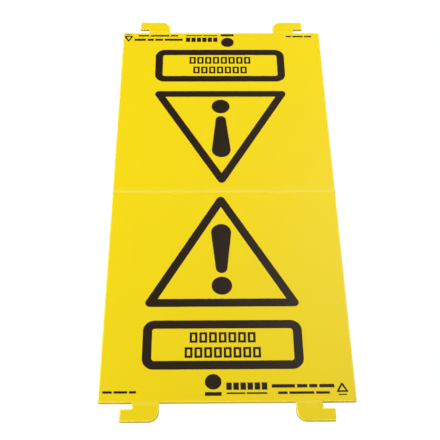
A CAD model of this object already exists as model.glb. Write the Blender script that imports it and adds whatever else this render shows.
"""A folding warning sign of creased polypropylene sheet, laid out flat with its printed face up.

The rigid panels, the hooked tabs and the ink are the frame's own solids with finishes made here; the
creases are strips that bend with the fold. Everything is in metres, in the frame's own axes."""

import math

import bpy
import numpy as np
from mathutils import Matrix, Vector


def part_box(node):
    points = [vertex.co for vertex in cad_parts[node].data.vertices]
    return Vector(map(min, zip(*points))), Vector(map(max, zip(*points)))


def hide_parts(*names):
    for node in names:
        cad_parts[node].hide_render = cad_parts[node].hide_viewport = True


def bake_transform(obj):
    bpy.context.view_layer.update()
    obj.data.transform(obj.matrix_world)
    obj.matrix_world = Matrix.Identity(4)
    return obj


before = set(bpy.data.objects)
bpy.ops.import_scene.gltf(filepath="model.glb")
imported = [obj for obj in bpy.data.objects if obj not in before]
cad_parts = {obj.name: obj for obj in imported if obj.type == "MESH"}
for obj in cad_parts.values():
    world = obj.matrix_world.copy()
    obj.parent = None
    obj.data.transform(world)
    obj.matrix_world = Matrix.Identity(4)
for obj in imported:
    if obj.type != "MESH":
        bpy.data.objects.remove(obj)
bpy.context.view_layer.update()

# ---------------------------------------------------------------- camera
# A long lens held above the front panel's foot, looking down along the sheet, a little off its centre
# line and turned to match.
MM = 0.001
CAMERA_PLACE = Vector((-23.4, -680.5, 952.6)) * MM
LENS_MM = 70.86
LOOK_DOWN = math.radians(56.255)
TURN = math.radians(-1.576)
ROLL = math.radians(1.131)

camera_data = bpy.data.cameras.new("camera")
camera_data.lens = LENS_MM
camera = bpy.data.objects.new("camera", camera_data)
camera.matrix_world = (
    Matrix.Translation(CAMERA_PLACE)
    @ Matrix.Rotation(TURN, 4, "Z")
    @ Matrix.Rotation(math.pi / 2 - LOOK_DOWN, 4, "X")
    @ Matrix.Rotation(ROLL, 4, "Z")
)
scene = bpy.context.scene
scene.collection.objects.link(camera)
scene.camera = camera
scene.view_settings.view_transform = "Standard"

# ---------------------------------------------------------------- floor
# A wide sheet of white acrylic, lit from behind, that the sign lies on. It isn't part of the sign. It gives
# its light and its bounce without showing itself, so what folds down past it stays in view.
FLOOR_SIDE = 12.0
FLOOR_GAP = 0.05 * MM
FLOOR_WHITE = (0.97, 0.97, 0.97, 1)
FLOOR_GLOW = 0.55


class Amount:
    """A number that changes over a surface. Arithmetic on amounts adds the Math nodes that work it out."""

    def __init__(self, finish, socket):
        self.finish = finish
        self.socket = socket

    def math(self, operation, first, second):
        settings = {"operation": operation}
        return self.finish.amount("ShaderNodeMath", settings, {0: first, 1: second})

    def __add__(self, other):
        return self.math("ADD", self, other)

    def __sub__(self, other):
        return self.math("SUBTRACT", self, other)

    def __rsub__(self, other):
        return self.math("SUBTRACT", other, self)

    def __mul__(self, other):
        return self.math("MULTIPLY", self, other)

    def __abs__(self):
        return self.math("ABSOLUTE", self, 0.0)

    __radd__ = __add__
    __rmul__ = __mul__


class Finish:
    """A material being written: one Principled shader and the nodes that feed it."""

    def __init__(self, name, constants):
        self.material = bpy.data.materials.new(name)
        self.material.use_nodes = True
        self.tree = self.material.node_tree
        self.tree.nodes.clear()
        self.shader = self.node("ShaderNodeBsdfPrincipled", {}, constants)
        self.node("ShaderNodeOutputMaterial", {}, {"Surface": self.shader.outputs[0]})

    def node(self, kind, settings, inputs):
        """Adds a node. Settings are its own attributes; inputs are values or links, by name or number."""
        made = self.tree.nodes.new(kind)
        for name, value in settings.items():
            setattr(made, name, value)
        self.feed(made, inputs)
        return made

    def feed(self, node, inputs):
        """Links each input that is an amount or a socket, and sets each that is a value."""
        for key, value in inputs.items():
            if isinstance(value, Amount):
                value = value.socket
            if isinstance(value, bpy.types.NodeSocket):
                self.tree.links.new(value, node.inputs[key])
            else:
                node.inputs[key].default_value = value

    def amount(self, kind, settings, inputs, output=0):
        return Amount(self, self.node(kind, settings, inputs).outputs[output])

    def surface(self, inputs):
        self.feed(self.shader, inputs)


acrylic = Finish("white_acrylic", {
    "Base Color": FLOOR_WHITE,
    "Roughness": 0.9,
    "Specular IOR Level": 0.1,
    "Emission Color": FLOOR_WHITE,
    "Emission Strength": FLOOR_GLOW,
})
half_floor = FLOOR_SIDE / 2
floor_mesh = bpy.data.meshes.new("floor")
floor_mesh.from_pydata(
    [(-half_floor, -half_floor, 0), (half_floor, -half_floor, 0), (half_floor, half_floor, 0),
     (-half_floor, half_floor, 0)],
    [],
    [(0, 1, 2, 3)],
)
floor_mesh.materials.append(acrylic.material)
floor = bpy.data.objects.new("floor", floor_mesh)
floor.location.z = -FLOOR_GAP
floor.visible_camera = False
scene.collection.objects.link(floor)

# ---------------------------------------------------------------- studio light
# Two soft boxes hang above the sides of the sheet and a third stands in front, for the cut edges. The
# surround is white and bright below and near the floor, and almost dark overhead.
LIGHTS = (
    ("soft_box_left", (-1.28, -0.04, 1.10), 0.9, 27.3),
    ("soft_box_right", (0.74, 0.57, 1.10), 0.9, 15.6),
    ("soft_box_front", (-0.60, -2.20, 0.50), 1.2, 10.6),
)
SURROUND_WHITE = (1, 1, 1, 1)
SURROUND_LOW = 1.02
SURROUND_HIGH = 0.08
SURROUND_FADES = (0.05, 0.5)

for light_name, place, side, power in LIGHTS:
    light_data = bpy.data.lights.new(light_name, "AREA")
    light_data.shape = "SQUARE"
    light_data.size = side
    light_data.energy = power
    light = bpy.data.objects.new(light_name, light_data)
    light.location = place
    light.rotation_euler = (-Vector(place)).to_track_quat("-Z", "Y").to_euler()
    scene.collection.objects.link(light)
world = bpy.data.worlds.new("surround")
world.use_nodes = True
background = world.node_tree.nodes["Background"]
background.inputs["Color"].default_value = SURROUND_WHITE
toward = world.node_tree.nodes.new("ShaderNodeTexCoord")
height = world.node_tree.nodes.new("ShaderNodeSeparateXYZ")
fade = world.node_tree.nodes.new("ShaderNodeMapRange")
fade.interpolation_type = "SMOOTHSTEP"
for socket, value in (("From Min", SURROUND_FADES[0]), ("From Max", SURROUND_FADES[1]),
                      ("To Min", SURROUND_LOW), ("To Max", SURROUND_HIGH)):
    fade.inputs[socket].default_value = value
world.node_tree.links.new(toward.outputs["Generated"], height.inputs[0])
world.node_tree.links.new(height.outputs["Z"], fade.inputs["Value"])
world.node_tree.links.new(fade.outputs[0], background.inputs["Strength"])
scene.world = world

# ---------------------------------------------------------------- panels and tabs
# One sheet of extruded polypropylene, yellow right through, die-cut from the printed side. The cut edges
# are duller and deeper in colour than the faces, and the sheet pales where it was stretched: beside each
# crease, and where the die rolled its upper edges over.
YELLOW = (0.680, 0.518, 0.0020, 1)
YELLOW_PALER = (0.735, 0.561, 0.0036, 1)
CUT_EDGE = (0.36, 0.225, 0.0006, 1)
CUT_EDGE_PALER = (0.43, 0.280, 0.0010, 1)
STRETCHED = (0.725, 0.575, 0.038, 1)
WHITENED = (0.92, 0.77, 0.10, 1)
SHEET_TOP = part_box("front_panel")[1].z
TAB_FOLD = (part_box("back_left_tab_crease")[0].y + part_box("back_left_tab_crease")[1].y) / 2
NECK_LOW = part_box("back_right_tab_crease")[0].x
NECK_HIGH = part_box("back_right_tab_crease")[1].x
PANELS = ("front", "back")
TABS = tuple(f"{end}_{side}_tab" for end in PANELS for side in ("left", "right"))

# Paled bands: where the band's middle lies, how far from it the paling ends, and how far it is full.
RIDGE_BAND = (-0.3 * MM, 2.6 * MM, 0.9 * MM)
SHOULDER_BAND = (2.0 * MM, 6.0 * MM, 2.5 * MM)
FOLD_BAND = (TAB_FOLD + 0.2 * MM, 3.4 * MM, 1.2 * MM)
NECK_BAND = ((NECK_LOW + NECK_HIGH) / 2, 17.5 * MM, 15.6 * MM)
SHOULDER_SHARE = 0.34
FOLD_SHARE = 0.6
PALING_EVEN = 0.78
PALING_MOTTLED = 0.34

# Heights at which the rolled-over line and the cut edge begin and end, each with a smooth step.
ROLL_BEGINS = (SHEET_TOP - 0.50 * MM, SHEET_TOP - 0.25 * MM)
ROLL_ENDS = (SHEET_TOP - 0.002 * MM, SHEET_TOP - 0.015 * MM)
ROLL_EVEN = 0.7
ROLL_MOTTLED = 0.3
CUT_BEGINS = (0.01 * MM, 0.08 * MM)
CUT_ENDS = (SHEET_TOP - 0.35 * MM, SHEET_TOP - 0.8 * MM)
CUT_KEPT = 0.5

# Patterns: the size of a patch, how far it is drawn out along X, Y and Z, and the noise's detail.
EVEN = (1, 1, 1)
MOTTLE = (1.6 * MM, (1, 2.5, 1), 2.0)
STREAKS = (3.0 * MM, (1, 60, 1), 2.0)
BROAD = (90 * MM, EVEN, 2.0)
SHEAR = (0.5 * MM, (1, 1, 8), 2.0)
RUBBED = (14 * MM, (1, 1.6, 1), 5.0)
GRAIN = (0.35 * MM, EVEN, 3.0)
BROAD_TONE = 0.30
STREAK_TONE = 0.22
SCUFFED = (0.60, 0.78)

GRAIN_RELIEF = 0.5
STREAK_RELIEF = 0.30
SHEAR_RELIEF = 1.6
STRETCH_RELIEF = 1.2
SHEET_ROUGHNESS = 0.40
SCUFF_ROUGHNESS = 0.10
CUT_ROUGHNESS = 0.22
STREAK_ROUGHNESS = 0.08

# The places of a colour Mix node's sockets.
MIX_SHARE, MIX_FIRST, MIX_SECOND, MIX_RESULT = 0, 6, 7, 2


def rises(finish, value, low, high):
    """0 below low and 1 above high, with a smooth step between. A low above high makes it fall."""
    settings = {"interpolation_type": "SMOOTHSTEP"}
    return finish.amount("ShaderNodeMapRange", settings, {"Value": value, "From Min": low, "From Max": high})


def band(finish, value, middle, clear, full):
    """1 where value is within full of the middle and 0 where it is more than clear from it."""
    return rises(finish, abs(value - middle), clear, full)


def clouds(finish, place, size, stretch, detail):
    """Noise from 0 to 1 whose patches are about size metres across, longer where stretch is above 1."""
    scale = tuple(1 / (size * s) for s in stretch)
    inputs = {"Vector": place, "Scale": scale}
    laid = finish.node("ShaderNodeMapping", {}, inputs).outputs[0]
    return finish.amount("ShaderNodeTexNoise", {}, {"Vector": laid, "Scale": 1.0, "Detail": detail})


def tinted(finish, share, first, second):
    """The colour that is first where share is 0 and second where it is 1."""
    colours = {MIX_SHARE: share, MIX_FIRST: first, MIX_SECOND: second}
    return finish.node("ShaderNodeMix", {"data_type": "RGBA"}, colours).outputs[MIX_RESULT]


def sheet_finish(name, attribute=None):
    """The sheet's plastic. Its patterns lie on the object's own coordinates or on an attribute.

    Colour: yellow, a few percent lighter and darker in broad clouds and along the extruder's lines;
    towards the pale stretched colour beside each crease; whitened along the rolled-over edge; towards
    the cut-edge colour between the faces.
    Relief: a fine matt grain, faint long draw lines, and shear lines down the cut edges."""
    finish = Finish(name, {"Specular IOR Level": 0.20, "IOR": 1.49})
    if attribute:
        place = finish.node("ShaderNodeAttribute", {"attribute_name": attribute}, {}).outputs["Vector"]
    else:
        place = finish.node("ShaderNodeTexCoord", {}, {}).outputs["Object"]
    split = finish.node("ShaderNodeSeparateXYZ", {}, {0: place})
    across, along, up = (Amount(finish, split.outputs[i]) for i in range(3))

    mottle = clouds(finish, place, *MOTTLE)
    shoulder = band(finish, along, *SHOULDER_BAND) * SHOULDER_SHARE
    fold = band(finish, abs(along), *FOLD_BAND) * band(finish, abs(across), *NECK_BAND) * FOLD_SHARE
    creases = band(finish, along, *RIDGE_BAND) + shoulder + fold
    stretched = creases * (PALING_EVEN + mottle * PALING_MOTTLED)

    streaks = clouds(finish, place, *STREAKS)
    broad = clouds(finish, place, *BROAD)
    tone = (broad - 0.5) * BROAD_TONE + (streaks - 0.5) * STREAK_TONE + 0.5
    rolled = rises(finish, up, *ROLL_BEGINS) * rises(finish, up, *ROLL_ENDS)
    face = tinted(finish, tone, YELLOW, YELLOW_PALER)
    face = tinted(finish, stretched, face, STRETCHED)
    face = tinted(finish, rolled * (ROLL_EVEN + mottle * ROLL_MOTTLED), face, WHITENED)

    in_edge = rises(finish, up, *CUT_BEGINS) * rises(finish, up, *CUT_ENDS)
    shear = clouds(finish, place, *SHEAR)
    cut = tinted(finish, shear, CUT_EDGE, CUT_EDGE_PALER)
    colour = tinted(finish, in_edge * (1 - stretched * CUT_KEPT), face, cut)

    scuffs = rises(finish, clouds(finish, place, *RUBBED), *SCUFFED)
    roughness = SHEET_ROUGHNESS + scuffs * SCUFF_ROUGHNESS + in_edge * CUT_ROUGHNESS
    grain = clouds(finish, place, *GRAIN)
    relief = grain * GRAIN_RELIEF + streaks * STREAK_RELIEF
    relief = relief + in_edge * shear * SHEAR_RELIEF + stretched * mottle * STRETCH_RELIEF
    bump = finish.node("ShaderNodeBump", {}, {"Strength": 0.22, "Distance": 0.06 * MM, "Height": relief})
    finish.surface({
        "Base Color": colour,
        "Roughness": roughness + (streaks - 0.5) * STREAK_ROUGHNESS,
        "Normal": bump.outputs[0],
    })
    return finish.material


def dress(node, material):
    """Gives a frame node one finish all over."""
    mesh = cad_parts[node].data
    mesh.materials.clear()
    mesh.materials.append(material)


sheet = sheet_finish("yellow_sheet")
for part in ("front_panel", "back_panel", *TABS):
    dress(part, sheet)

# ---------------------------------------------------------------- creases
# Thinned strips of the same sheet, pressed with a blunt rule. Each has a low bead on the printed side and
# a smooth belly underneath, and its two ends keep the sheet's rolled-over edge.
ROLL_OVER_SHARE = 0.8
BELLY_SHARE = 0.2
EDGE_STEPS = 6
BEAD_POINTS = 17
RIDGE_SECTIONS = 60
TAB_SECTIONS = 12
SHARP = math.radians(40)
creased = sheet_finish("creased_sheet", "laid_flat")


def mesh_piece(name, points, faces, material):
    """A finished piece at the origin, smooth but for edges sharper than SHARP."""
    mesh = bpy.data.meshes.new(name)
    mesh.from_pydata(points.tolist(), [], faces)
    mesh.materials.append(material)
    mesh.shade_smooth()
    mesh.set_sharp_from_angle(angle=SHARP)
    piece = bpy.data.objects.new(name, mesh)
    scene.collection.objects.link(piece)
    return piece


def carried_section(name, rings, material):
    """A closed section carried along a path: rings is an array of stations by points by x, y, z.

    Each face joins two neighbours on one ring to the same two on the next; one face closes each end."""
    stations, count, _ = rings.shape
    here = np.arange(stations - 1)[:, None] * count + np.arange(count)[None, :]
    after = np.arange(stations - 1)[:, None] * count + (np.arange(count)[None, :] + 1) % count
    sides = np.stack([here, after, after + count, here + count], axis=-1).reshape(-1, 4).tolist()
    caps = [np.arange(count)[::-1].tolist(), (np.arange(count) + (stations - 1) * count).tolist()]
    return mesh_piece(name, rings.reshape(-1, 3), sides + caps, material)


def crease_strip(name, node, sections):
    """The bending strip in a frame node's place.

    Across it (y from -half to half): the top is the sheet's face plus bead * (1 - (y / half)^2), and the
    belly is the node's underside plus a share of the thickness * cos(y / half * a quarter turn)^2. Along
    it (x): over the last roll-over radius r at each end, the top drops by r - sqrt(r^2 - (r - d)^2), where
    d is the distance left to the end."""
    low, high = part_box(node)
    middle = (low.y + high.y) / 2
    half = (high.y - low.y) / 2
    thick = SHEET_TOP - low.z
    bead = high.z - SHEET_TOP
    y_top = np.linspace(half, -half, BEAD_POINTS)
    y_low = np.linspace(-half, half, BEAD_POINTS)
    z_top = SHEET_TOP + bead * (1 - (y_top / half) ** 2)
    z_low = low.z + thick * BELLY_SHARE * np.cos(y_low / half * math.pi / 2) ** 2
    roll_over = thick * ROLL_OVER_SHARE
    turn = np.linspace(0, math.pi / 2, EDGE_STEPS)
    inward = roll_over * (1 - np.cos(turn))
    plain = np.linspace(low.x, high.x, sections + 2)[1:-1]
    x = np.concatenate([low.x + inward, plain, high.x - inward[::-1]])
    left = np.minimum(x - low.x, high.x - x).clip(0, roll_over)
    drop = roll_over - np.sqrt(roll_over**2 - (roll_over - left) ** 2)
    rings = np.empty((len(x), 2 * BEAD_POINTS, 3))
    rings[:, :, 0] = x[:, None]
    rings[:, :, 1] = middle + np.concatenate([y_top, y_low])[None, :]
    rings[:, :BEAD_POINTS, 2] = z_top[None, :] - drop[:, None]
    rings[:, BEAD_POINTS:, 2] = z_low[None, :]
    piece = carried_section(name, rings, creased)
    laid_flat = piece.data.attributes.new("laid_flat", "FLOAT_VECTOR", "POINT")
    laid_flat.data.foreach_set("vector", rings.astype(np.float32).ravel())
    # The moving side is the far one, except at the front panel's foot.
    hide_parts(node)
    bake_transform(piece)


crease_strip("ridge_strip", "ridge_crease", RIDGE_SECTIONS)
for tab in TABS:
    crease_strip(f"{tab}_strip", f"{tab}_crease", TAB_SECTIONS)

# ---------------------------------------------------------------- print
# Brown-black ink, screen-printed on each panel in one pass. It is thin and a little glossier than the
# sheet, with the faint mottle that the mesh leaves.
INK = (0.0105, 0.0045, 0.0003, 1)
INK_THIN = (0.0185, 0.0090, 0.0008, 1)
INK_MOTTLE = (1.2 * MM, EVEN, 4.0)
INK_BROAD = (45 * MM, EVEN, 2.0)
MESH_RELIEF = (0.28 * MM, EVEN, 2.0)
THIN_SHARE = 0.45
INK_ROUGHNESS = 0.34
MOTTLE_ROUGHNESS = 0.16
PRINTED = (
    "warning_triangle", "exclamation_bar", "exclamation_dot", "caption_frame", "caption_upper",
    "caption_lower", "maker_emblem", "maker_lines", "contact_lines", "note_line", "material_mark",
    "material_line",
)


def ink_finish(name):
    """The ink: two near-blacks mixed by a fine mottle and broad clouds, and a very fine mesh relief."""
    finish = Finish(name, {"Specular IOR Level": 0.20, "IOR": 1.5})
    place = finish.node("ShaderNodeTexCoord", {}, {}).outputs["Object"]
    mottle = clouds(finish, place, *INK_MOTTLE)
    broad = clouds(finish, place, *INK_BROAD)
    colour = tinted(finish, mottle * THIN_SHARE + broad * THIN_SHARE, INK, INK_THIN)
    mesh_relief = clouds(finish, place, *MESH_RELIEF)
    bump = finish.node("ShaderNodeBump", {}, {"Strength": 0.2, "Distance": 0.03 * MM, "Height": mesh_relief})
    finish.surface({
        "Base Color": colour,
        "Roughness": INK_ROUGHNESS + mottle * MOTTLE_ROUGHNESS,
        "Normal": bump.outputs[0],
    })
    return finish.material


ink = ink_finish("black_ink")
for end in PANELS:
    for printed in PRINTED:
        dress(f"{end}_{printed}", ink)
